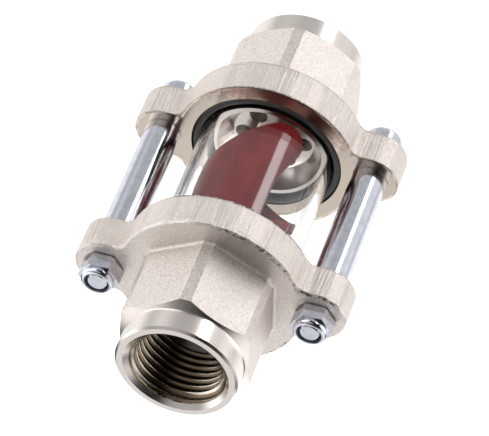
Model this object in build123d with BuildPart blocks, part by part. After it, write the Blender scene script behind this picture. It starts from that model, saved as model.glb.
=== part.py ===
"""Impeller flow indicator: two cast port bodies clamp a sight glass around a twisted impeller.

The flow axis is +Z and the tie bolts stand on the X axis. The origin is the centre of the
lower port's mouth. Every length is in millimetres.
"""

import os
from math import cos, hypot, radians, sin, sqrt, tan

from build123d import *

# Layout along the flow axis
flange_gap = 33.0
flange_thickness = 8.2
port_length = 23.3

# Threaded port, turned on the end of each body
thread_diameter = 20.955
thread_depth = 15.0
mouth_chamfer = 1.12
passage_step = 1.38
end_ring_width = 1.8
collar_length = 5.5
collar_edge = 0.5

# Spanner hexagon, left as cast
hex_stand = 0.6
hex_corner_bevel = 1.4
hex_end_angle = 30.0
hex_root_round = 0.8

# Sight glass, its sealing rings and its end gaskets
glass_diameter = 30.0
glass_wall = 2.0
glass_edge = 0.4
glass_radial_play = 0.2
slot_depth = 5.0
o_ring_section = 2.0
o_ring_squeeze = 0.04
o_ring_bulge = 0.4
gasket_thickness = 1.2
gasket_side_play = 0.05

# Flange around the glass, with a lug at each tie bolt
flange_wall = 3.5
flange_edge_round = 0.5
lug_reach = 2.85
lug_wall = 3.75
lug_root_round = 3.0

# Perforated web and the funnel in front of it
boss_drop = 0.55
boss_rim = 1.0
web_drop = 4.95
web_thickness = 3.0
web_hole_count = 6
web_hole_diameter = 4.0
web_hole_margin = 0.45

# Shaft and its bearings, each held in a hub of the web
shaft_diameter = 3.0
shaft_running_clearance = 0.05
shaft_end_play = 0.5
shaft_edge = 0.3
bearing_wall = 1.5
bearing_length = 5.0
bearing_stand = 0.2
bearing_edge = 0.3
hub_wall = 1.25

# Impeller: two arc-shaped blades that leave the hub tube along its tangent
impeller_end_play = 0.4
impeller_hub_wall = 2.3
impeller_tip_clearance = 1.4
blade_thickness = 1.2
blade_sweep = 135.6
blade_tip_angle = 236.7
blade_pitch = 60.4

# Tie bolts and spacer tubes
bolt_diameter = 5.0
bolt_hole_clearance = 0.25
bolt_end_chamfer = 0.5
bolt_end_drop = 0.3
head_overhang = 1.75
head_height = 5.0
head_round = 1.6
socket_across_flats = 4.0
socket_depth = 2.6
spacer_wall = 1.25
spacer_edge = 0.3

# Lock nuts with their inserts
nut_wall = 1.5
nut_height = 5.0
nut_hex_height = 3.6
nut_chamfer_angle = 30.0
nut_collar_step = 0.25
nut_collar_round = 0.8
nut_thread_clearance = 0.05
insert_wall = 0.6
insert_height = 1.2
insert_drop = 0.4
insert_mouth_play = 0.3

# Places along the flow axis that follow from the sizes above
body_length = port_length + flange_thickness
total_height = 2 * body_length + flange_gap
middle = Plane.XY.offset(total_height / 2)
ring_land_depth = o_ring_section + o_ring_bulge
ring_land_floor = body_length - ring_land_depth
slot_floor = body_length - slot_depth
boss_top = body_length - boss_drop
web_top = body_length - web_drop
web_base = web_top - web_thickness
bearing_top = boss_top + bearing_stand
bearing_base = bearing_top - bearing_length

# Radii and diameters that follow from the sizes above
thread_r = thread_diameter / 2
mouth_r = thread_r + mouth_chamfer
passage_r = thread_r - passage_step
collar_r = mouth_r + end_ring_width
hex_inner_r = collar_r + hex_stand
hex_corner_r = 2 * hex_inner_r / sqrt(3)
glass_r = glass_diameter / 2
glass_bore_r = glass_r - glass_wall
slot_r = glass_r + glass_radial_play
ring_land_r = glass_r + o_ring_section
boss_r = glass_bore_r - glass_radial_play
shaft_r = shaft_diameter / 2
bearing_bore_r = shaft_r + shaft_running_clearance
bearing_r = shaft_r + bearing_wall
hub_r = bearing_r + hub_wall
web_hole_r = web_hole_diameter / 2
bolt_r = bolt_diameter / 2
bolt_hole_r = bolt_r + bolt_hole_clearance
lug_r = bolt_hole_r + lug_wall
flange_r = ring_land_r + flange_wall
lug_x = flange_r + lug_reach


def turned(profile: list[tuple[float, float]], mode: Mode) -> None:
    """Revolve a closed profile of radius and height points about the flow axis."""
    with BuildSketch(Plane.XZ) as outline:
        with BuildLine():
            Polyline(*profile, close=True)
        make_face()
    revolve(outline.sketch, axis=Axis.Z, mode=mode)


def save(piece: Part, label: str) -> None:
    """Label one finished piece and write its STEP file."""
    piece.label = label
    export_step(piece, f"parts/{label}.step")


def save_both_ends(piece: Part, label: str) -> None:
    """Save a piece of the lower end, and its mirror image at the upper end."""
    save(piece, f"lower_{label}")
    save(mirror(piece, about=middle), f"upper_{label}")


def save_both_sides(piece: Part, label: str) -> None:
    """Save a piece of the right tie bolt, and its mirror image at the left one."""
    save(piece, f"right_{label}")
    save(mirror(piece, about=Plane.YZ), f"left_{label}")


os.makedirs("parts", exist_ok=True)

with BuildPart() as body:
    # Spanner hexagon with a corner towards +Y and -Y
    with BuildSketch(Plane.XY.offset(collar_length)) as hexagon:
        RegularPolygon(hex_inner_r, 6, major_radius=False, rotation=30)
        chamfer(hexagon.vertices(), length=hex_corner_bevel)
    extrude(amount=port_length - collar_length)

    # The turning tool leaves a cone across the end of the hexagon
    cone_rise = (hex_corner_r - collar_r) * tan(radians(hex_end_angle))
    turned(
        [
            (0, collar_length),
            (collar_r, collar_length),
            (hex_corner_r, collar_length + cone_rise),
            (hex_corner_r, port_length),
            (0, port_length),
        ],
        Mode.INTERSECT,
    )

    # Flange with a lug at each tie bolt
    with BuildSketch(Plane.XY.offset(port_length)) as flange:
        Circle(flange_r)
        Rectangle(2 * lug_x, 2 * lug_r)
        with Locations((lug_x, 0), (-lug_x, 0)):
            Circle(lug_r)
        lug_roots = flange.vertices().group_by(lambda v: hypot(v.X, v.Y))[0]
        fillet(lug_roots, radius=lug_root_round)
    extrude(amount=flange_thickness)
    flange_back = body.faces().filter_by(Plane.XY).sort_by(Axis.Z)[1]
    hexagon_root = flange_back.inner_wires()[0].edges()
    fillet(flange_back.outer_wire().edges(), radius=flange_edge_round)
    fillet(hexagon_root, radius=hex_root_round)

    # Turned collar around the thread
    turned(
        [
            (0, 0),
            (collar_r - collar_edge, 0),
            (collar_r, collar_edge),
            (collar_r, collar_length),
            (0, collar_length),
        ],
        Mode.ADD,
    )

    # Threaded port, its mouth and the passage up to the web
    turned(
        [
            (0, 0),
            (mouth_r, 0),
            (thread_r, mouth_chamfer),
            (thread_r, thread_depth),
            (passage_r, thread_depth + passage_step),
            (passage_r, web_base),
            (0, web_base),
        ],
        Mode.SUBTRACT,
    )

    # Inner face: land of the sealing ring, slot of the glass, boss rim and funnel
    turned(
        [
            (0, web_top),
            (passage_r, web_top),
            (boss_r - boss_rim, boss_top),
            (boss_r, boss_top),
            (boss_r, slot_floor),
            (slot_r, slot_floor),
            (slot_r, ring_land_floor),
            (ring_land_r, ring_land_floor),
            (ring_land_r, body_length),
            (0, body_length),
        ],
        Mode.SUBTRACT,
    )

    # Holes through the web, and the hub that holds the bearing
    with BuildSketch(Plane.XY.offset(web_base)):
        with PolarLocations(hub_r + web_hole_margin + web_hole_r, web_hole_count):
            Circle(web_hole_r)
    extrude(amount=web_thickness, mode=Mode.SUBTRACT)
    with BuildSketch(Plane.XY.offset(web_top)):
        Circle(hub_r)
    extrude(amount=boss_top - web_top)
    with BuildSketch(Plane.XY.offset(bearing_base)):
        Circle(bearing_r)
    extrude(amount=bearing_length, mode=Mode.SUBTRACT)

    # Tie bolt holes
    with BuildSketch(Plane.XY.offset(port_length)):
        with Locations((lug_x, 0), (-lug_x, 0)):
            Circle(bolt_hole_r)
    extrude(amount=flange_thickness, mode=Mode.SUBTRACT)
save_both_ends(body.part, "body")

# Sealing ring squeezed between the glass and its land
ring_width = o_ring_section - o_ring_squeeze
with BuildPart() as o_ring:
    with BuildSketch(Plane.XZ):
        with Locations((glass_r + o_ring_section / 2, ring_land_floor + ring_land_depth / 2)):
            SlotOverall(ring_land_depth, ring_width, rotation=90)
    revolve(axis=Axis.Z)
save_both_ends(o_ring.part, "o_ring")

# Flat gasket that cushions the end of the glass
with BuildPart() as glass_gasket:
    with BuildSketch(Plane.XY.offset(slot_floor)):
        Circle(slot_r - gasket_side_play)
        Circle(boss_r + gasket_side_play, mode=Mode.SUBTRACT)
    extrude(amount=gasket_thickness)
save_both_ends(glass_gasket.part, "glass_gasket")

# Bearing bush in the hub of the web
with BuildPart() as bearing:
    with BuildSketch(Plane.XY.offset(bearing_base)):
        Circle(bearing_r)
        Circle(bearing_bore_r, mode=Mode.SUBTRACT)
    extrude(amount=bearing_length)
    bearing_rims = bearing.edges().filter_by(GeomType.CIRCLE).group_by(SortBy.RADIUS)[-1]
    chamfer(bearing_rims, length=bearing_edge)
save_both_ends(bearing.part, "bearing")

# Sight glass between the two gaskets
glass_base = slot_floor + gasket_thickness
with BuildPart() as sight_glass:
    with BuildSketch(Plane.XY.offset(glass_base)):
        Circle(glass_r)
        Circle(glass_bore_r, mode=Mode.SUBTRACT)
    extrude(amount=total_height - 2 * glass_base)
    chamfer(sight_glass.edges().filter_by(GeomType.CIRCLE), length=glass_edge)
save(sight_glass.part, "sight_glass")

# Impeller section: each blade is an arc from the hub's tangent point out to its tip
impeller_hub_r = shaft_r + impeller_hub_wall
blade_tip_r = glass_bore_r - impeller_tip_clearance
tip_x = blade_tip_r * cos(radians(blade_sweep))
tip_y = blade_tip_r * sin(radians(blade_sweep))
blade_arc_r = (tip_y**2 + (impeller_hub_r - tip_x) ** 2) / (2 * (impeller_hub_r - tip_x))
arc_centre_x = impeller_hub_r - blade_arc_r
with BuildSketch() as blade:
    with Locations((arc_centre_x, 0)):
        Circle(blade_arc_r)
        Circle(blade_arc_r - blade_thickness, mode=Mode.SUBTRACT)
    with Locations((arc_centre_x, -blade_arc_r)):
        Rectangle(2 * blade_arc_r, 2 * blade_arc_r, mode=Mode.SUBTRACT)
    Circle(blade_tip_r, mode=Mode.INTERSECT)
with BuildSketch() as impeller_section:
    Circle(impeller_hub_r)
    add(blade.sketch)
    add(blade.sketch.rotate(Axis.Z, 180))

# Impeller: the section twists evenly along the flow axis
impeller_base = bearing_top + impeller_end_play
impeller_length = total_height - 2 * impeller_base
with BuildPart() as impeller:
    blades = Solid.extrude_linear_with_rotation(
        impeller_section.sketch.faces()[0],
        center=(0, 0, 0),
        normal=(0, 0, impeller_length),
        angle=360 * impeller_length / blade_pitch,
    )
    add(blades.moved(Location((0, 0, impeller_base), (0, 0, blade_tip_angle - blade_sweep))))
    with BuildSketch(Plane.XY.offset(impeller_base)):
        Circle(shaft_r)
    extrude(amount=impeller_length, mode=Mode.SUBTRACT)
save(impeller.part, "impeller")

# Shaft fixed in the impeller, running in both bearings
shaft_base = bearing_base + shaft_end_play
with BuildPart() as impeller_shaft:
    with BuildSketch(Plane.XY.offset(shaft_base)):
        Circle(shaft_r)
    extrude(amount=total_height - 2 * shaft_base)
    chamfer(impeller_shaft.edges().filter_by(GeomType.CIRCLE), length=shaft_edge)
save(impeller_shaft.part, "impeller_shaft")

# Each lock nut stands on the upper flange, and each bolt's head bears on the lower one
bolt_line = Plane(origin=(lug_x, 0, 0), x_dir=(1, 0, 0), z_dir=(0, 0, 1))
bolt_axis = Axis(bolt_line.origin, bolt_line.z_dir)
head_base = port_length - head_height
nut_base = total_height - port_length
nut_top = nut_base + nut_height
bolt_length = nut_top - bolt_end_drop - port_length

# Tie bolt with a rounded socket head
with BuildPart() as tie_bolt:
    with BuildSketch(bolt_line.offset(head_base)):
        Circle(bolt_r + head_overhang)
    extrude(amount=head_height)
    fillet(tie_bolt.edges().group_by(Axis.Z)[0], radius=head_round)
    with BuildSketch(bolt_line.offset(head_base)):
        RegularPolygon(socket_across_flats / 2, 6, major_radius=False)
    extrude(amount=socket_depth, mode=Mode.SUBTRACT)
    with BuildSketch(bolt_line.offset(port_length)):
        Circle(bolt_r)
    extrude(amount=bolt_length)
    chamfer(tie_bolt.edges().group_by(Axis.Z)[-1], length=bolt_end_chamfer)
save_both_sides(tie_bolt.part, "tie_bolt")

# Spacer tube that keeps the flanges apart
with BuildPart() as spacer:
    with BuildSketch(bolt_line.offset(body_length)):
        Circle(bolt_hole_r + spacer_wall)
        Circle(bolt_hole_r, mode=Mode.SUBTRACT)
    extrude(amount=flange_gap)
    spacer_rims = spacer.edges().filter_by(GeomType.CIRCLE).group_by(SortBy.RADIUS)[-1]
    chamfer(spacer_rims, length=spacer_edge)
save_both_sides(spacer.part, "spacer")

# Lock nut: chamfered hexagon, then a rounded collar that holds the insert
nut_flat_r = bolt_r + nut_wall
nut_corner_r = 2 * nut_flat_r / sqrt(3)
nut_bore_r = bolt_r + nut_thread_clearance
insert_r = bolt_r + insert_wall
insert_base = nut_top - insert_drop - insert_height
chamfer_rise = (nut_corner_r - nut_flat_r) * tan(radians(nut_chamfer_angle))
with BuildPart() as lock_nut:
    with BuildSketch(bolt_line.offset(nut_base)):
        RegularPolygon(nut_flat_r, 6, major_radius=False)
    extrude(amount=nut_hex_height)
    with BuildSketch(Plane.XZ) as nut_envelope:
        with BuildLine():
            Polyline(
                (lug_x, nut_base),
                (lug_x + nut_flat_r, nut_base),
                (lug_x + nut_corner_r, nut_base + chamfer_rise),
                (lug_x + nut_corner_r, nut_base + nut_hex_height),
                (lug_x, nut_base + nut_hex_height),
                close=True,
            )
        make_face()
    revolve(axis=bolt_axis, mode=Mode.INTERSECT)
    with BuildSketch(bolt_line.offset(nut_base)):
        Circle(nut_flat_r - nut_collar_step)
    extrude(amount=nut_height)
    fillet(lock_nut.edges().group_by(Axis.Z)[-1], radius=nut_collar_round)
    with BuildSketch(bolt_line.offset(nut_base)):
        Circle(nut_bore_r)
    extrude(amount=nut_height, mode=Mode.SUBTRACT)
    with BuildSketch(bolt_line.offset(nut_top - insert_drop)):
        Circle(bolt_r + insert_mouth_play)
    extrude(amount=insert_drop, mode=Mode.SUBTRACT)
    with BuildSketch(bolt_line.offset(insert_base)):
        Circle(insert_r)
    extrude(amount=insert_height, mode=Mode.SUBTRACT)
save_both_sides(lock_nut.part, "lock_nut")

# Nylon ring inside the collar of the lock nut
with BuildPart() as nut_insert:
    with BuildSketch(bolt_line.offset(insert_base)):
        Circle(insert_r)
        Circle(nut_bore_r, mode=Mode.SUBTRACT)
    extrude(amount=insert_height)
save_both_sides(nut_insert.part, "nut_insert")
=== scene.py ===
"""Dresses the impeller flow indicator: metal, glass, rubber and plastic finishes, and pipe threads."""

import logging
import math
from dataclasses import dataclass
from enum import Enum
from typing import Any

import bmesh
import bpy
from mathutils import Matrix, Vector


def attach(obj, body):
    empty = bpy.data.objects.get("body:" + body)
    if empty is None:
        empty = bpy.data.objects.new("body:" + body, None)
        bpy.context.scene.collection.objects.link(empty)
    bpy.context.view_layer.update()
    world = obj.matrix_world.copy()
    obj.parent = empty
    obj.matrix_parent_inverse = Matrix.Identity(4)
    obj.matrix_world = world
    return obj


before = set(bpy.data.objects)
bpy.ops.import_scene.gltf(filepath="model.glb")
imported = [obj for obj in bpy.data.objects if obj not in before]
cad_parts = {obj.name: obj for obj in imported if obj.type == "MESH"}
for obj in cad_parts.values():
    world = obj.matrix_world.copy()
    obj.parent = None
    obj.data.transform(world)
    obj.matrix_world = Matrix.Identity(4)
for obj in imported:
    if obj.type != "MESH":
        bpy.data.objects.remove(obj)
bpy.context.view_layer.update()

log = logging.getLogger("flow_indicator")
MM = 0.001
MIDDLE_Z = 48.0
BOLT_X = 23.35
THREAD_MAJOR_R = 10.4775
THREAD_MINOR_R = 9.3155
Colour = tuple[float, float, float]
Span = tuple[float, float]
WHITE: Colour = (1.0, 1.0, 1.0)
UPWARDS = (0.0, 0.0, 1.0)


# Shader maths

@dataclass(frozen=True)
class Pattern:
    """A cloudy pattern: its scale per millimetre, its detail, and how it is stretched."""

    scale: float
    detail: float = 2.0
    roughness: float = 0.5
    across: float = 1.0
    along: float = 1.0


class Num:
    """A number that varies over a surface. Its operators add Math nodes."""

    def __init__(self, graph: "Graph", socket: bpy.types.NodeSocket) -> None:
        """Wrap one output socket of a graph."""
        self.graph = graph
        self.socket = socket

    def __add__(self, other: "Num | float") -> "Num":
        """Sum."""
        return self.graph.math("ADD", self, other)

    def __radd__(self, other: float) -> "Num":
        """Sum with a plain number on the left."""
        return self.graph.math("ADD", other, self)

    def __sub__(self, other: "Num | float") -> "Num":
        """Difference."""
        return self.graph.math("SUBTRACT", self, other)

    def __rsub__(self, other: float) -> "Num":
        """Difference from a plain number."""
        return self.graph.math("SUBTRACT", other, self)

    def __mul__(self, other: "Num | float") -> "Num":
        """Product."""
        return self.graph.math("MULTIPLY", self, other)

    def __rmul__(self, other: float) -> "Num":
        """Product with a plain number on the left."""
        return self.graph.math("MULTIPLY", other, self)

    def __abs__(self) -> "Num":
        """Size without the sign."""
        return self.graph.math("ABSOLUTE", self)

    def least(self, other: "Num | float") -> "Num":
        """The smaller of two numbers."""
        return self.graph.math("MINIMUM", self, other)

    def most(self, other: "Num | float") -> "Num":
        """The larger of two numbers."""
        return self.graph.math("MAXIMUM", self, other)

    def rises(self, start: float, end: float) -> "Num":
        """Smooth step.

        Args:
            start: value at which the step begins.
            end: value at which the step is complete.

        Returns:
            0 before the start, 1 past the end. An end under the start makes it fall.
        """
        return self.graph.add(
            "ShaderNodeMapRange",
            {"interpolation_type": "SMOOTHSTEP"},
            {"Value": self, "From Min": start, "From Max": end},
        ).number("Result")

    def swings(self, width: float, about: float = 0.5) -> "Num":
        """Noise as an offset of this width, about this mean."""
        return (self - about) * width


class Made:
    """A node that has just been added, for reading its outputs."""

    def __init__(self, graph: "Graph", node: bpy.types.Node) -> None:
        """Hold the node and its graph."""
        self.graph = graph
        self.node = node

    def number(self, name: str | int) -> Num:
        """An output as a number that takes part in expressions."""
        return Num(self.graph, self.node.outputs[name])

    def out(self, name: str | int) -> bpy.types.NodeSocket:
        """An output as a plain socket."""
        return self.node.outputs[name]


class Graph:
    """The node tree of one material or of the world."""

    # A Mix node has sockets of every type under the same names, so the colour ones go by their numbers
    COLOUR_A, COLOUR_B, COLOUR_RESULT = 6, 7, 2

    def __init__(self, tree: bpy.types.NodeTree) -> None:
        """Start from an empty tree."""
        self.tree = tree
        tree.nodes.clear()

    def add(
        self, kind: str, settings: dict[str, Any] | None = None, inputs: dict[Any, Any] | None = None
    ) -> Made:
        """Add one node.

        Args:
            kind: the node's type.
            settings: its own options, set before the sockets.
            inputs: values or links by socket name or number.

        Returns:
            The node, ready for its outputs to be read.
        """
        node = self.tree.nodes.new(kind)
        for name, value in (settings or {}).items():
            setattr(node, name, value)
        for name, value in (inputs or {}).items():
            self._feed(node.inputs[name], value)
        return Made(self, node)

    def _feed(self, socket: bpy.types.NodeSocket, value: Any) -> None:
        """Link a socket or set its own value.

        Args:
            socket: the input.
            value: a number, colour or vector, or what is linked to it.
        """
        if isinstance(value, Num):
            self.tree.links.new(value.socket, socket)
        elif isinstance(value, bpy.types.NodeSocket):
            self.tree.links.new(value, socket)
        elif isinstance(value, tuple) and socket.type == "RGBA":
            socket.default_value = (*value, 1.0)
        else:
            socket.default_value = value

    def math(self, operation: str, *values: "Num | float") -> Num:
        """One Math node on numbers."""
        return self.add("ShaderNodeMath", {"operation": operation}, dict(enumerate(values))).number("Value")

    def _vector_math(self, operation: str, *values: Any) -> Made:
        """One Vector Math node."""
        return self.add("ShaderNodeVectorMath", {"operation": operation}, dict(enumerate(values)))

    def times(self, first: Any, second: Any) -> bpy.types.NodeSocket:
        """Product of two vectors, part by part."""
        return self._vector_math("MULTIPLY", first, second).out("Vector")

    def dot(self, first: Any, second: Any) -> Num:
        """Dot product of two vectors."""
        return self._vector_math("DOT_PRODUCT", first, second).number("Value")

    def length(self, vector: Any) -> Num:
        """Length of a vector."""
        return self._vector_math("LENGTH", vector).number("Value")

    def combine(self, x: Num, y: Num) -> bpy.types.NodeSocket:
        """Vector of two numbers and a third that is 0."""
        return self.add("ShaderNodeCombineXYZ", None, {"X": x, "Y": y}).out("Vector")

    def mix(self, factor: Num, low: Any, high: Any) -> bpy.types.NodeSocket:
        """Blend two colours.

        Args:
            factor: 0 gives the first colour and 1 the second.
            low: first colour.
            high: second colour.

        Returns:
            The blended colour.
        """
        inputs = {"Factor": factor, self.COLOUR_A: low, self.COLOUR_B: high}
        return self.add("ShaderNodeMix", {"data_type": "RGBA"}, inputs).out(self.COLOUR_RESULT)

    def noise(self, vector: Any, pattern: Pattern) -> Num:
        """Cloudy noise.

        Args:
            vector: where it is read.
            pattern: its scale and detail.

        Returns:
            A number from 0 to 1 about a mean of a half.
        """
        inputs = {"Vector": vector, "Scale": pattern.scale}
        inputs |= {"Detail": pattern.detail, "Roughness": pattern.roughness}
        return self.add("ShaderNodeTexNoise", None, inputs).number(0)

    def bump(self, height: Num, distance: float, strength: float) -> bpy.types.NodeSocket:
        """Turn a height into a normal.

        Args:
            height: relief from 0 to 1.
            distance: depth of that relief in metres.
            strength: share of it that shows.

        Returns:
            The bumped normal.
        """
        inputs = {"Height": height, "Distance": distance, "Strength": strength}
        return self.add("ShaderNodeBump", None, inputs).out("Normal")


def surface(name: str) -> tuple[bpy.types.Material, Graph]:
    """Start a material.

    Args:
        name: the material's name.

    Returns:
        The material and its empty node tree.
    """
    material = bpy.data.materials.new(name)
    material.use_nodes = True
    return material, Graph(material.node_tree)


def close(graph: Graph, inputs: dict[str, Any]) -> None:
    """End a material with a Principled shader that takes these inputs."""
    shader = graph.add("ShaderNodeBsdfPrincipled", None, inputs)
    graph.add("ShaderNodeOutputMaterial", None, {"Surface": shader.out("BSDF")})


# Finishes

@dataclass(frozen=True)
class Place:
    """Where a point lies on the object, in millimetres.

    The radius is its distance from the flow axis, the reach the one from the middle plane, and bolt the one
    from the nearer bolt's axis.
    """

    graph: Graph
    at: bpy.types.NodeSocket
    x: Num
    y: Num
    z: Num
    radius: Num
    reach: Num
    bolt: Num

    def noise(self, pattern: Pattern) -> Num:
        """A pattern that lies in the object."""
        stretch = (pattern.across, pattern.across, pattern.along)
        return self.graph.noise(self.graph.times(self.at, stretch), pattern)


def place(graph: Graph) -> Place:
    """Read the object coordinates.

    Args:
        graph: the material's tree.

    Returns:
        The point and its distances.
    """
    at = graph.times(graph.add("ShaderNodeTexCoord").out("Object"), (1 / MM, 1 / MM, 1 / MM))
    parts = graph.add("ShaderNodeSeparateXYZ", None, {0: at})
    x, y, z = (parts.number(name) for name in "XYZ")
    radius = graph.length(graph.times(at, (1.0, 1.0, 0.0)))
    bolt = graph.length(graph.combine(abs(x) - BOLT_X, y))
    return Place(graph, at, x, y, z, radius, abs(z - MIDDLE_Z), bolt)


@dataclass(frozen=True)
class NickelCasting:
    """Nickel plate on sand-cast brass, bright where a tool has turned it.

    A Span is where a step begins and where it is complete: on a pattern for a cover, and otherwise in
    millimetres.
    """

    bright: Colour = (0.84, 0.775, 0.735)
    dull: Colour = (0.66, 0.595, 0.55)
    pitted: Colour = (0.34, 0.28, 0.24)
    faced: Colour = (0.72, 0.62, 0.52)
    # Dark red-brown of tarnish spots and of a painted reflection on the faced side.
    tarnish_and_reflection: Colour = (0.26, 0.085, 0.055)
    # Near-black of grime, also used for painted shade and painted shadows.
    grime_and_shade: Colour = (0.05, 0.038, 0.03)
    cast_roughness: float = 0.43
    cast_swing: float = 0.25
    turned_roughness: float = 0.22
    turned_swing: float = 0.12
    relief: float = 0.22 * MM
    relief_shown: float = 0.9

    grain: Pattern = Pattern(2.3, 3.0, 0.7)
    patches: Pattern = Pattern(1.1, 3.0, 0.6)
    swell: Pattern = Pattern(0.35)
    streaks: Pattern = Pattern(1.1, 3.0, 0.75, along=0.03)
    clusters: Pattern = Pattern(0.2, 1.0, along=0.0)
    blots: Pattern = Pattern(1.3, 4.0, 0.75)
    rings: Pattern = Pattern(9.0)
    grain_height: float = 0.7
    streak_height: float = 3.0
    ridge_height: float = 0.3
    ring_height: float = 0.02

    turned_r: Span = (13.8, 13.6)
    collar_r: float = 13.395
    cone_slope: float = 0.577
    cone_reach: Span = (42.44, 42.48)
    glass_seat_r: Span = (17.10, 17.05)
    glass_seat_reach: Span = (24.4, 24.2)
    face_reach: Span = (16.58, 16.53)
    flange_r: float = 20.5
    lug_r: float = 6.5

    tone_cover: Span = (0.34, 0.6)
    tone_of_grain: float = 0.75
    pit_cover: Span = (0.36, 0.26)
    pit_patches: Span = (0.4, 0.55)
    pit_share: float = 0.4
    faced_share: float = 0.85
    faced_swing: float = 0.4

    rim_band: Span = (-0.6, -0.2)
    rim_reach: Span = (24.5, 24.0)
    rim_dulling: float = 0.35
    cluster_cover: Span = (0.4, 0.6)
    rubbed_least: float = 0.2
    scratch_cover: Span = (0.44, 0.3)
    scratch_share: float = 0.45
    ridge_reach: float = 23.3
    ridge_wander: float = 0.8
    ridge_width: Span = (0.45, 0.05)
    ridge_band: Span = (-0.5, -0.3)
    ridge_cover: Span = (0.42, 0.55)

    speck_band: Span = (-0.75, -0.45)
    speck_reach: Span = (24.1, 24.4)
    speck_z: Span = (MIDDLE_Z, MIDDLE_Z + 1.0)
    speck_x: Span = (-29.0, -26.0)
    speck_cover: Span = (0.66, 0.76)
    # More specks towards -x, where the painted shadow is darker.
    darker_x: Span = (2.0, -4.0)
    darker_by: float = 0.18
    # Painted contact shadow round the nuts and the bolts' heads.
    nut_shadow_r: Span = (4.7, 4.2)
    nut_shadow_share: float = 0.8
    back_reach: Span = (24.4, 24.7)
    # Painted shade deep in the bore.
    bore_shade_r: Span = (10.7, 10.6)
    bore_shade_end: Span = (46.0, 44.0)
    grime_and_shade_share: float = 0.85

    stain_of_patches: float = 0.3
    # The lean puts the painted reflection on one side of the faced side.
    reflection_lean: tuple[float, float] = (-0.006, -0.024)
    tarnish_and_reflection_cover: Span = (0.36, 0.6)
    tarnish_and_reflection_share: float = 0.7
    burr_band: Span = (-0.45, -0.15)
    burr_reach: Span = (17.05, 16.7)
    burr_cover: Span = (0.62, 0.46)

    def _face(self, at: Place) -> Num:
        """Mask of the faced inner side of the flange."""
        return at.reach.rises(*self.face_reach)

    def _turned(self, at: Place) -> Num:
        """Find the turned surfaces: bores, collar and cone, glass seat and inner face.

        Args:
            at: the point.

        Returns:
            Their mask.
        """
        bores = at.radius.rises(*self.turned_r)
        cone = (at.reach + (at.radius - self.collar_r) * self.cone_slope).rises(*self.cone_reach)
        glass_seat = at.radius.rises(*self.glass_seat_r) * at.reach.rises(*self.glass_seat_reach)
        return bores.most(cone).most(glass_seat).most(self._face(at))

    def _outline(self, at: Place) -> Num:
        """Distance out from the outline of the flange and its lugs, under 0 inside."""
        bar = (abs(at.x) - BOLT_X).most(abs(at.y) - self.lug_r)
        return (at.radius - self.flange_r).least(at.bolt - self.lug_r).least(bar)

    def _rubbed(self, at: Place, on_rim: Num) -> Num:
        """How hard the draw marks, which come in clusters, have rubbed the rims."""
        clusters = at.noise(self.clusters).rises(*self.cluster_cover)
        return on_rim * (self.rubbed_least + clusters * (1.0 - self.rubbed_least))

    def _ridge(self, at: Place, outline: Num, patches: Num) -> Num:
        """Witness ridge that follows the mould's joint around the rims, worn away in places.

        Args:
            at: the point.
            outline: distance out from the flange's outline.
            patches: the pattern that it wanders with.

        Returns:
            Its height from 0 to 1.
        """
        aside = abs(at.reach - self.ridge_reach - patches.swings(self.ridge_wander))
        kept = at.noise(self.swell).rises(*self.ridge_cover)
        return aside.rises(*self.ridge_width) * outline.rises(*self.ridge_band) * kept

    def _specks_and_step_shadow(self, at: Place, outline: Num) -> Num:
        """Dark specks along the back edge of the upper flange: grime in the pits and a painted shadow of
        the step at that edge, most of it on one side.

        Args:
            at: the point.
            outline: distance out from the flange's outline.

        Returns:
            Its mask.
        """
        edge = outline.rises(*self.speck_band) * at.reach.rises(*self.speck_reach)
        edge = edge * at.z.rises(*self.speck_z) * at.x.rises(*self.speck_x)
        # More specks towards -x: grime and painted shadow.
        blots = at.noise(self.blots) + at.x.rises(*self.darker_x) * self.darker_by
        return edge * blots.rises(*self.speck_cover)

    def _bore_shade(self, at: Place) -> Num:
        """Painted shade on the bore wall between the thread's ridges and deeper in, short of the mouth."""
        beyond_web = at.reach.rises(*self.back_reach)
        return at.radius.rises(*self.bore_shade_r) * beyond_web * at.reach.rises(*self.bore_shade_end)

    def _nut_contact_shadow(self, at: Place) -> Num:
        """Painted contact shadow on the lugs round the nuts and the bolts' heads."""
        return at.bolt.rises(*self.nut_shadow_r) * at.reach.rises(*self.back_reach) * self.nut_shadow_share

    def _tarnish_and_reflection(self, at: Place, patches: Num) -> Num:
        """How far the faced side is tarnished and carries a painted dark, red-tinged reflection of the
        impeller and the other flange, most of all on the side that the two leans give.
        """
        lean_x, lean_y = self.reflection_lean
        return (patches * self.stain_of_patches + at.x * lean_x + at.y * lean_y).rises(*self.tarnish_and_reflection_cover)

    def _burr(self, at: Place, outline: Num, grain: Num) -> Num:
        """Burr at the edge of the faced side, which holds dirt."""
        edge = outline.rises(*self.burr_band) * at.reach.rises(*self.burr_reach)
        return edge * grain.rises(*self.burr_cover)

    def material(self) -> bpy.types.Material:
        """Build the finish.

        Returns:
            The material.
        """
        material, graph = surface("nickel_casting_finish")
        at = place(graph)
        face, turned, outline = self._face(at), self._turned(at), self._outline(at)
        cast = 1.0 - turned
        grain, patches, streaks = at.noise(self.grain), at.noise(self.patches), at.noise(self.streaks)
        rings = graph.noise(graph.combine(at.radius, at.reach), self.rings)

        on_rim = outline.rises(*self.rim_band) * at.reach.rises(*self.rim_reach)
        rubbed = self._rubbed(at, on_rim)
        scratches = streaks.rises(*self.scratch_cover) * rubbed * self.scratch_share
        pits = grain.rises(*self.pit_cover) * patches.rises(*self.pit_patches) * self.pit_share
        tarnish_and_reflection_mask = self._tarnish_and_reflection(at, patches)
        burr = self._burr(at, outline, grain) * tarnish_and_reflection_mask
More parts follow.
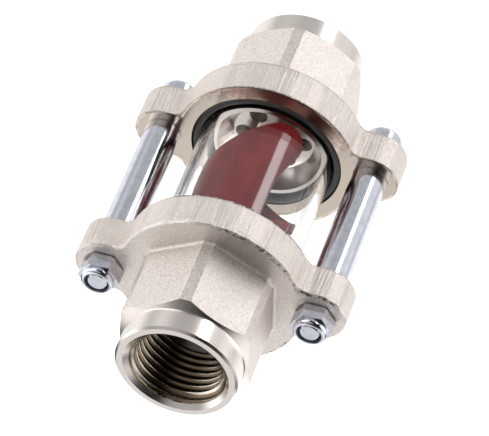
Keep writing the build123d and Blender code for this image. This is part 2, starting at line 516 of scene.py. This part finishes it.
        # Grime in pits and burrs, painted shadow along the flange's back edge, painted shade in the bore
        # and painted contact shadow round the nuts.
        dirt_and_shade = (self._specks_and_step_shadow(at, outline) * cast).most(burr).most(self._bore_shade(at)).most(self._nut_contact_shadow(at))

        tone = grain * self.tone_of_grain + patches * (1.0 - self.tone_of_grain)
        tone = tone.rises(*self.tone_cover) * (1.0 - on_rim * self.rim_dulling)
        colour = graph.mix(tone, self.dull, self.bright)
        colour = graph.mix(pits.most(scratches), colour, self.pitted)
        colour = graph.mix(turned, colour, self.bright)
        colour = graph.mix(face * (self.faced_share + rings.swings(self.faced_swing)), colour, self.faced)
        # Painted dark, red-tinged reflection on the faced side, mixed with tarnish spots.
        colour = graph.mix(face * tarnish_and_reflection_mask * self.tarnish_and_reflection_share, colour, self.tarnish_and_reflection)
        colour = graph.mix(dirt_and_shade * self.grime_and_shade_share, colour, self.grime_and_shade)

        height = grain * cast * self.grain_height + streaks * rubbed * self.streak_height
        height = height + self._ridge(at, outline, patches) * self.ridge_height
        height = height + rings * turned * self.ring_height
        roughness = cast * (self.cast_roughness + grain.swings(self.cast_swing))
        roughness = roughness + turned * (self.turned_roughness + rings.swings(self.turned_swing))
        close(graph, {
            "Base Color": colour,
            "Metallic": 1.0,
            "Roughness": roughness,
            "Normal": graph.bump(height, self.relief, self.relief_shown),
        })
        return material


@dataclass(frozen=True)
class ThreadedNickel:
    """Tapped nickel-plated brass, with a painted highlight on the crests, painted shade on the flanks and
    in the roots, more painted shade on one side of the bore, and lighter crests near the mouth.
    """

    # The crest colour is a painted highlight; the flank and root colours are painted shade in the grooves.
    crest: Colour = (0.92, 0.86, 0.76)
    flank: Colour = (0.24, 0.18, 0.12)
    root: Colour = (0.10, 0.07, 0.042)
    lines: Pattern = Pattern(1.5, 3.0, 0.6, across=0.5, along=6.0)
    stain: Pattern = Pattern(0.6, 3.0, 0.6)
    crest_r: Span = (THREAD_MINOR_R + 0.06, THREAD_MINOR_R + 0.3)
    flank_r: Span = (THREAD_MINOR_R + 0.4, THREAD_MAJOR_R)
    # Lighter crests near the mouth.
    near_mouth_reach: Span = (44.5, 46.5)
    near_mouth_by: float = 0.7
    # Painted shade on one side of the bore.
    shaded_x_high: Span = (7.0, 3.5)
    shaded_x_low: Span = (-6.0, 1.5)
    shaded_y: Span = (0.0, 4.0)
    shaded_side_by: float = 0.4
    stained_by: float = 0.25
    roughness: float = 0.2
    roughness_swing: float = 0.15
    relief: float = 0.02 * MM
    relief_shown: float = 0.5

    def material(self) -> bpy.types.Material:
        """Build the finish.

        Returns:
            The material.
        """
        material, graph = surface("thread_finish")
        at = place(graph)
        lines, stain = at.noise(self.lines), at.noise(self.stain)
        # Crests widen near the mouth.
        near_mouth = at.reach.rises(*self.near_mouth_reach)
        # Painted shade on one side of the bore.
        shaded_side = at.x.rises(*self.shaded_x_high) * at.x.rises(*self.shaded_x_low) * at.y.rises(*self.shaded_y)
        # Radius shifted by noise, near the mouth and on the shaded side; it places the painted crest
        # highlight and groove shade.
        shifted = at.radius - stain.swings(self.stained_by) - near_mouth * self.near_mouth_by + shaded_side * self.shaded_side_by
        # Painted highlight on the crests, painted shade on the flanks and in the roots.
        colour = graph.mix(shifted.rises(*self.crest_r), self.crest, self.flank)
        colour = graph.mix(shifted.rises(*self.flank_r), colour, self.root)
        close(graph, {
            "Base Color": colour,
            "Metallic": 1.0,
            "Roughness": self.roughness + lines.swings(self.roughness_swing),
            "Normal": graph.bump(lines, self.relief, self.relief_shown),
        })
        return material


@dataclass(frozen=True)
class BrightZinc:
    """Blue-white zinc plate, drawn lengthwise, with a few dull specks."""

    bright: Colour = (0.79, 0.81, 0.89)
    dull: Colour = (0.57, 0.58, 0.65)
    speck: Colour = (0.10, 0.08, 0.07)
    clouds: Pattern = Pattern(0.5, 3.0, 0.6)
    drawn: Pattern = Pattern(2.6, along=0.06)
    specks: Pattern = Pattern(1.7, 2.0, 0.6)
    cloud_cover: Span = (0.35, 0.75)
    cloud_share: float = 0.5
    cloud_mean: float = 0.4
    speck_cover: Span = (0.74, 0.78)
    speck_share: float = 0.7
    drawn_height: float = 0.6
    cloud_height: float = 0.4
    roughness: float = 0.13
    roughness_swing: float = 0.12
    relief: float = 0.03 * MM
    relief_shown: float = 0.35

    def material(self) -> bpy.types.Material:
        """Build the finish.

        Returns:
            The material.
        """
        material, graph = surface("bright_zinc_finish")
        at = place(graph)
        clouds = at.noise(self.clouds)
        specks = at.noise(self.specks).rises(*self.speck_cover)
        colour = graph.mix(clouds.rises(*self.cloud_cover) * self.cloud_share, self.bright, self.dull)
        height = at.noise(self.drawn) * self.drawn_height + clouds * self.cloud_height
        close(graph, {
            "Base Color": graph.mix(specks * self.speck_share, colour, self.speck),
            "Metallic": 1.0,
            "Roughness": self.roughness + clouds.swings(self.roughness_swing, self.cloud_mean),
            "Normal": graph.bump(height, self.relief, self.relief_shown),
        })
        return material


@dataclass(frozen=True)
class RedPlastic:
    """Matt dark red moulding with faint flow marks."""

    dark: Colour = (0.175, 0.010, 0.013)
    light: Colour = (0.245, 0.018, 0.020)
    flow: Pattern = Pattern(0.28, 3.0, 0.55, along=0.35)
    fine: Pattern = Pattern(5.0)
    flow_cover: Span = (0.35, 0.7)
    flow_share: float = 0.8
    flow_height: float = 0.5
    gloss: float = 0.15
    roughness: float = 0.5
    roughness_swing: float = 0.12
    relief: float = 0.02 * MM
    relief_shown: float = 0.4

    def material(self) -> bpy.types.Material:
        """Build the finish.

        Returns:
            The material.
        """
        material, graph = surface("red_plastic_finish")
        at = place(graph)
        flow, fine = at.noise(self.flow), at.noise(self.fine)
        tone = flow.rises(*self.flow_cover) * self.flow_share + fine * (1.0 - self.flow_share)
        height = flow * self.flow_height + fine * (1.0 - self.flow_height)
        close(graph, {
            "Base Color": graph.mix(tone, self.dark, self.light),
            "Roughness": self.roughness + fine.swings(self.roughness_swing),
            "Specular IOR Level": self.gloss,
            "Normal": graph.bump(height, self.relief, self.relief_shown),
        })
        return material


@dataclass(frozen=True)
class BlackRubber:
    """Matt black rubber with moulding dust on it."""

    dark: Colour = (0.018, 0.017, 0.016)
    dusty: Colour = (0.060, 0.057, 0.054)
    dust: Pattern = Pattern(2.5, 4.0, 0.65)
    dust_cover: Span = (0.45, 0.8)
    roughness: float = 0.36
    roughness_swing: float = 0.3
    relief: float = 0.02 * MM
    relief_shown: float = 0.4

    def material(self) -> bpy.types.Material:
        """Build the finish.

        Returns:
            The material.
        """
        material, graph = surface("black_rubber_finish")
        dust = place(graph).noise(self.dust)
        close(graph, {
            "Base Color": graph.mix(dust.rises(*self.dust_cover), self.dark, self.dusty),
            "Roughness": self.roughness + dust.swings(self.roughness_swing),
            "Normal": graph.bump(dust, self.relief, self.relief_shown),
        })
        return material


@dataclass(frozen=True)
class ClearGlass:
    """Drawn glass tube, faintly streaked along its length."""

    tint: Colour = (0.985, 0.99, 0.985)
    drawn: Pattern = Pattern(0.5, along=0.03)
    index: float = 1.49
    relief: float = 0.01 * MM
    relief_shown: float = 0.25

    def material(self) -> bpy.types.Material:
        """Build the finish.

        Returns:
            The material.
        """
        material, graph = surface("clear_glass_finish")
        drawn = place(graph).noise(self.drawn)
        close(graph, {
            "Base Color": self.tint,
            "Roughness": 0.0,
            "IOR": self.index,
            "Transmission Weight": 1.0,
            "Normal": graph.bump(drawn, self.relief, self.relief_shown),
        })
        return material


@dataclass(frozen=True)
class TurnedMetal:
    """Plain turned metal of the shaft and the bearings."""

    name: str
    colour: Colour
    shifted: Colour
    roughness: float
    rings: Pattern = Pattern(1.2, 3.0, 0.6, across=0.4, along=7.0)
    worn_cover: Span = (0.35, 0.75)
    roughness_swing: float = 0.15
    relief: float = 0.01 * MM
    relief_shown: float = 0.4

    def material(self) -> bpy.types.Material:
        """Build the finish.

        Returns:
            The material.
        """
        material, graph = surface(self.name)
        rings = place(graph).noise(self.rings)
        close(graph, {
            "Base Color": graph.mix(rings.rises(*self.worn_cover), self.colour, self.shifted),
            "Metallic": 1.0,
            "Roughness": self.roughness + rings.swings(self.roughness_swing),
            "Normal": graph.bump(rings, self.relief, self.relief_shown),
        })
        return material


@dataclass(frozen=True)
class DarkNylon:
    """Dark nylon of the lock nuts' inserts."""

    dark: Colour = (0.018, 0.022, 0.035)
    scuffed: Colour = (0.06, 0.07, 0.10)
    scuffs: Pattern = Pattern(3.0, 3.0, 0.6)
    scuff_cover: Span = (0.45, 0.8)
    roughness: float = 0.4
    roughness_swing: float = 0.2
    relief: float = 0.02 * MM
    relief_shown: float = 0.3

    def material(self) -> bpy.types.Material:
        """Build the finish.

        Returns:
            The material.
        """
        material, graph = surface("dark_nylon_finish")
        scuffs = place(graph).noise(self.scuffs)
        close(graph, {
            "Base Color": graph.mix(scuffs.rises(*self.scuff_cover), self.dark, self.scuffed),
            "Roughness": self.roughness + scuffs.swings(self.roughness_swing),
            "Normal": graph.bump(scuffs, self.relief, self.relief_shown),
        })
        return material


def dress(node: str, material: bpy.types.Material) -> None:
    """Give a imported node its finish.

    Args:
        node: the node's name.
        material: the finish.
    """
    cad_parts[node].material_slots[0].material = material
    log.info("%s dressed in %s", node, material.name)


# Sub-assemblies

class Level(Enum):
    """The two ends of the indicator."""

    LOWER = "lower"
    UPPER = "upper"


class Side(Enum):
    """The two tie bolts."""

    LEFT = "left"
    RIGHT = "right"


@dataclass
class PipeThread:
    """Internal G 1/2 thread: one ridge that winds up the bore of a port. Sizes are in millimetres."""

    level: Level
    finish: bpy.types.Material
    major_r: float = THREAD_MAJOR_R
    minor_r: float = THREAD_MINOR_R
    pitch: float = 1.814
    flank_angle: float = 27.5
    rounding_share: float = 0.12
    shoulder_share: float = 0.3
    mouth_r: float = 11.5975
    mouth_overlap: float = 0.2
    depth: float = 14.6
    embed: float = 0.12
    steps_per_turn: int = 72

    def _profile(self) -> list[Span]:
        """Draw the section of the ridge.

        Returns:
            Radius and height of each corner, from the lower root to the upper root.
        """
        slope = math.tan(math.radians(self.flank_angle))
        middle_r = (self.major_r + self.minor_r) / 2
        round_off = (self.major_r - self.minor_r) * self.rounding_share
        lower = []
        for radius in (self.major_r - round_off, self.minor_r + round_off):
            lower.append((radius, -self.pitch / 4 - (radius - middle_r) * slope))
        root_z = (lower[0][1] - self.pitch / 2) / 2
        crest_z = lower[1][1] / 2
        lower = [(self.major_r + self.embed, root_z), (self.major_r, root_z), *lower]
        lower.append((self.minor_r + round_off * self.shoulder_share, crest_z))
        upper = [(radius, -height) for radius, height in reversed(lower)]
        return lower + [(self.minor_r, 0.0)] + upper

    def build(self) -> bpy.types.Object:
        """Wind the ridge, trim it to the mouth's chamfer and turn it to its own end.

        Returns:
            The thread as one closed piece.
        """
        turns = self.depth / self.pitch
        steps = round(turns * self.steps_per_turn)
        mesh = bmesh.new()
        section = [mesh.verts.new((radius, 0.0, height)) for radius, height in self._profile()]
        rim = [mesh.edges.new((a, b)) for a, b in zip(section, section[1:] + section[:1])]
        bmesh.ops.spin(
            mesh, geom=section + rim, cent=(0, 0, 0), axis=UPWARDS, dvec=(0, 0, self.depth / steps),
            angle=2 * math.pi * turns, steps=steps, use_merge=False, use_duplicate=False,
        )
        ends = [edge for edge in mesh.edges if edge.is_boundary]
        bmesh.ops.holes_fill(mesh, edges=ends, sides=0)
        lowest = self.mouth_r - self.major_r - self.mouth_overlap
        for vertex in mesh.verts:
            radius = math.hypot(vertex.co.x, vertex.co.y)
            allowed = max(radius, self.mouth_r - max(vertex.co.z, 0.0))
            allowed = min(allowed, self.major_r + self.embed)
            vertex.co.x *= allowed / radius
            vertex.co.y *= allowed / radius
            vertex.co.z = min(max(vertex.co.z, lowest), self.depth)
        bmesh.ops.recalc_face_normals(mesh, faces=mesh.faces)
        if self.level is Level.UPPER:
            half_turn = Matrix.Rotation(math.pi, 3, "X")
            bmesh.ops.rotate(mesh, cent=(0, 0, MIDDLE_Z), matrix=half_turn, verts=mesh.verts)
        bmesh.ops.scale(mesh, vec=(MM, MM, MM), verts=mesh.verts)
        return add_piece(f"{self.level.value}_port_thread", mesh, self.finish, "root")


def add_piece(
    name: str, mesh: bmesh.types.BMesh, material: bpy.types.Material, body: str
) -> bpy.types.Object:
    """Turn a bmesh into a finished piece.

    Args:
        name: the piece's name.
        mesh: its shape in metres, which is freed.
        material: its finish.
        body: the body that it rides on.

    Returns:
        The new object.
    """
    data = bpy.data.meshes.new(name)
    mesh.to_mesh(data)
    mesh.free()
    data.materials.append(material)
    data.shade_smooth()
    piece = bpy.data.objects.new(name, data)
    bpy.context.scene.collection.objects.link(piece)
    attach(piece, body)
    log.info("%s: %d faces", name, len(data.polygons))
    return piece


@dataclass
class Ports:
    """Both cast bodies with their threads."""

    casting: NickelCasting = NickelCasting()
    thread: ThreadedNickel = ThreadedNickel()

    def build(self) -> None:
        """Dress the castings and cut their threads."""
        casting = self.casting.material()
        thread = self.thread.material()
        for level in Level:
            dress(f"{level.value}_body", casting)
            PipeThread(level, thread).build()


@dataclass
class SightTube:
    """Glass tube with its seals."""

    glass: ClearGlass = ClearGlass()
    rubber: BlackRubber = BlackRubber()

    def build(self) -> None:
        """Dress the tube, the sealing rings and the gaskets."""
        dress("sight_glass", self.glass.material())
        rubber = self.rubber.material()
        for level in Level:
            dress(f"{level.value}_o_ring", rubber)
            dress(f"{level.value}_glass_gasket", rubber)


@dataclass
class Rotor:
    """Impeller, its shaft and the bearings."""

    plastic: RedPlastic = RedPlastic()
    steel: TurnedMetal = TurnedMetal("ground_steel_finish", (0.62, 0.62, 0.63), (0.5, 0.5, 0.52), 0.18)
    bronze: TurnedMetal = TurnedMetal("bearing_bronze_finish", (0.56, 0.38, 0.20), (0.40, 0.26, 0.13), 0.3)

    def build(self) -> None:
        """Dress the turning pieces and what carries them."""
        dress("impeller", self.plastic.material())
        dress("impeller_shaft", self.steel.material())
        bronze = self.bronze.material()
        for level in Level:
            dress(f"{level.value}_bearing", bronze)


@dataclass
class TieBolts:
    """Tie bolts, spacer tubes and lock nuts."""

    zinc: BrightZinc = BrightZinc()
    nylon: DarkNylon = DarkNylon()

    def build(self) -> None:
        """Dress both sets."""
        zinc = self.zinc.material()
        nylon = self.nylon.material()
        for side in Side:
            for part in ("tie_bolt", "spacer", "lock_nut"):
                dress(f"{side.value}_{part}", zinc)
            dress(f"{side.value}_nut_insert", nylon)


# Studio

def direction(azimuth: float, elevation: float) -> Vector:
    """Point into the world.

    Args:
        azimuth: degrees from +X towards +Y.
        elevation: degrees above the ground plane.

    Returns:
        The unit vector.
    """
    flat = math.cos(math.radians(elevation))
    turn = math.radians(azimuth)
    return Vector((flat * math.cos(turn), flat * math.sin(turn), math.sin(math.radians(elevation))))


def rays(graph: Graph) -> tuple[Num, Num]:
    """Tell the rays apart.

    Args:
        graph: the tree of the world or of a material.

    Returns:
        Masks of what is seen in a reflection, and of what the camera sees directly or through glass.
    """
    path = graph.add("ShaderNodeLightPath")
    direct = path.number("Is Camera Ray").most(path.number("Is Transmission Ray"))
    return path.number("Glossy Depth").least(1.0), direct


@dataclass(frozen=True)
class Glow:
    """A soft area of light on the studio walls."""

    azimuth: float
    elevation: float
    spread: float
    strength: float

    def level(self, graph: Graph, towards: bpy.types.NodeSocket) -> Num:
        """Light that it sends from a direction of the world."""
        facing = graph.dot(towards, direction(self.azimuth, self.elevation))
        return facing.rises(math.cos(math.radians(self.spread)), 1.0) * self.strength


@dataclass(frozen=True)
class Strip:
    """An upright strip light that ends at the height of the object."""

    azimuth: float = 236.0
    half_width: float = 7.0
    strength: float = 3.6
    core_share: float = 0.7
    ahead: Span = (0.3, 0.6)
    top: Span = (0.0, -0.3)

    def level(self, graph: Graph, towards: bpy.types.NodeSocket) -> Num:
        """Light that it sends from a direction of the world.

        Args:
            graph: the world's tree.
            towards: the direction.

        Returns:
            Its strength there.
        """
        half = math.sin(math.radians(self.half_width))
        across = abs(graph.dot(towards, direction(self.azimuth + 90.0, 0.0)))
        ahead = graph.dot(towards, direction(self.azimuth, 0.0)).rises(*self.ahead)
        below = graph.dot(towards, UPWARDS).rises(*self.top)
        return across.rises(half, half * self.core_share) * ahead * below * self.strength


@dataclass(frozen=True)
class Lamp:
    """A soft square lamp aimed at the object."""

    name: str
    azimuth: float
    elevation: float
    distance: float
    size: float
    power: float


@dataclass
class Studio:
    """White floor, studio walls, lamps and the camera at the photograph's angle."""

    eye: tuple[float, float, float] = (-0.162344, -0.632773, 0.604392)
    forward: tuple[float, float, float] = (0.18847729, 0.73886306, -0.64696035)
    up: tuple[float, float, float] = (0.22554281, -0.67372471, -0.70372257)
    focal_length: float = 294.48
    sensor_width: float = 36.0
    sight_end: float = 10.0
    fill: float = 0.85
    darkest: float = 0.02
    floor_size: float = 4.0
    floor_z: float = -0.3 * MM
    floor_glow: float = 0.42
    floor_paint: Colour = (0.86, 0.86, 0.86)
    strip: Strip = Strip()
    glows: tuple[Glow, ...] = (
        Glow(30.0, -42.0, 38.0, 0.50),
        Glow(120.0, -42.0, 38.0, 0.70),
        Glow(210.0, -42.0, 34.0, 0.30),
        Glow(0.0, -2.0, 42.0, 1.30),
        Glow(90.0, -2.0, 42.0, 1.80),
        Glow(180.0, -2.0, 42.0, 2.00),
        Glow(315.0, -2.0, 42.0, 1.80),
        Glow(20.0, 42.0, 38.0, 1.00),
        Glow(60.0, 42.0, 34.0, 0.80),
        Glow(130.0, 42.0, 34.0, 1.20),
        Glow(300.0, 45.0, 40.0, 0.45),
        Glow(0.0, -90.0, 90.0, 0.70),
    )
    lamps: tuple[Lamp, ...] = (
        Lamp("key_lamp", 235.0, 35.0, 0.9, 0.5, 4.0),
        Lamp("top_lamp", 60.0, 70.0, 0.9, 0.6, 3.0),
    )

    def build(self) -> None:
        """Set up everything around the object."""
        bpy.context.scene.view_settings.view_transform = "Standard"
        self._walls()
        self._floor()
        for lamp in self.lamps:
            self._lamp(lamp)
        self._camera()

    def _walls(self) -> None:
        """White to the camera and through glass, and soft light and dark areas to polished metal."""
        world = bpy.data.worlds.new("studio_walls")
        world.use_nodes = True
        world.cycles.sampling_method = "NONE"
        bpy.context.scene.world = world
        graph = Graph(world.node_tree)
        towards = graph.add("ShaderNodeTexCoord").out("Generated")
        level = self.strip.level(graph, towards)
        for glow in self.glows:
            level = level + glow.level(graph, towards)
        reflected, direct = rays(graph)
        plain = direct + (1.0 - direct) * self.fill
        strength = reflected * level.most(self.darkest) + (1.0 - reflected) * plain
        background = graph.add("ShaderNodeBackground", None, {"Color": WHITE, "Strength": strength})
        graph.add("ShaderNodeOutputWorld", None, {"Surface": background.out("Background")})

    def _floor(self) -> None:
        """White floor that keeps the object's shadow and lets reflections see the walls."""
        mesh = bmesh.new()
        bmesh.ops.create_grid(mesh, x_segments=1, y_segments=1, size=self.floor_size / 2)
        bmesh.ops.translate(mesh, vec=(0, 0, self.floor_z), verts=mesh.verts)
        data = bpy.data.meshes.new("studio_floor")
        mesh.to_mesh(data)
        mesh.free()
        material, graph = surface("studio_floor_paint")
        reflected, direct = rays(graph)
        paint = graph.add("ShaderNodeBsdfDiffuse", None, {"Color": self.floor_paint})
        glow = graph.add("ShaderNodeEmission", None, {"Color": WHITE, "Strength": direct * self.floor_glow})
        lit = graph.add("ShaderNodeAddShader", None, {0: paint.out("BSDF"), 1: glow.out("Emission")})
        clear = graph.add("ShaderNodeBsdfTransparent")
        shaders = {0: reflected, 1: lit.out("Shader"), 2: clear.out("BSDF")}
        both = graph.add("ShaderNodeMixShader", None, shaders)
        graph.add("ShaderNodeOutputMaterial", None, {"Surface": both.out("Shader")})
        data.materials.append(material)
        floor = bpy.data.objects.new("studio_floor", data)
        bpy.context.scene.collection.objects.link(floor)

    def _lamp(self, lamp: Lamp) -> None:
        """Hang one lamp.

        Args:
            lamp: its place, size and power.
        """
        light = bpy.data.lights.new(lamp.name, "AREA")
        light.size = lamp.size
        light.energy = lamp.power
        holder = bpy.data.objects.new(lamp.name, light)
        away = direction(lamp.azimuth, lamp.elevation)
        holder.location = Vector((0.0, 0.0, MIDDLE_Z * MM)) + away * lamp.distance
        holder.rotation_euler = away.to_track_quat("Z", "Y").to_euler()
        holder.visible_glossy = False
        bpy.context.scene.collection.objects.link(holder)

    def _camera(self) -> None:
        """Stand the camera where the photograph was taken."""
        camera = bpy.data.cameras.new("photo_camera")
        camera.lens = self.focal_length
        camera.sensor_width = self.sensor_width
        camera.clip_end = self.sight_end
        holder = bpy.data.objects.new("photo_camera", camera)
        back = -Vector(self.forward).normalized()
        side = Vector(self.up).cross(back).normalized()
        rows = Matrix((side, back.cross(side), back)).transposed().to_4x4()
        holder.matrix_world = Matrix.Translation(self.eye) @ rows
        bpy.context.scene.collection.objects.link(holder)
        bpy.context.scene.camera = holder


def main() -> None:
    """Build the sub-assemblies in order."""
    logging.basicConfig(level=logging.INFO, format="%(name)s: %(message)s")
    Studio().build()
    Ports().build()
    SightTube().build()
    Rotor().build()
    TieBolts().build()


if __name__ == "__main__":
    main()
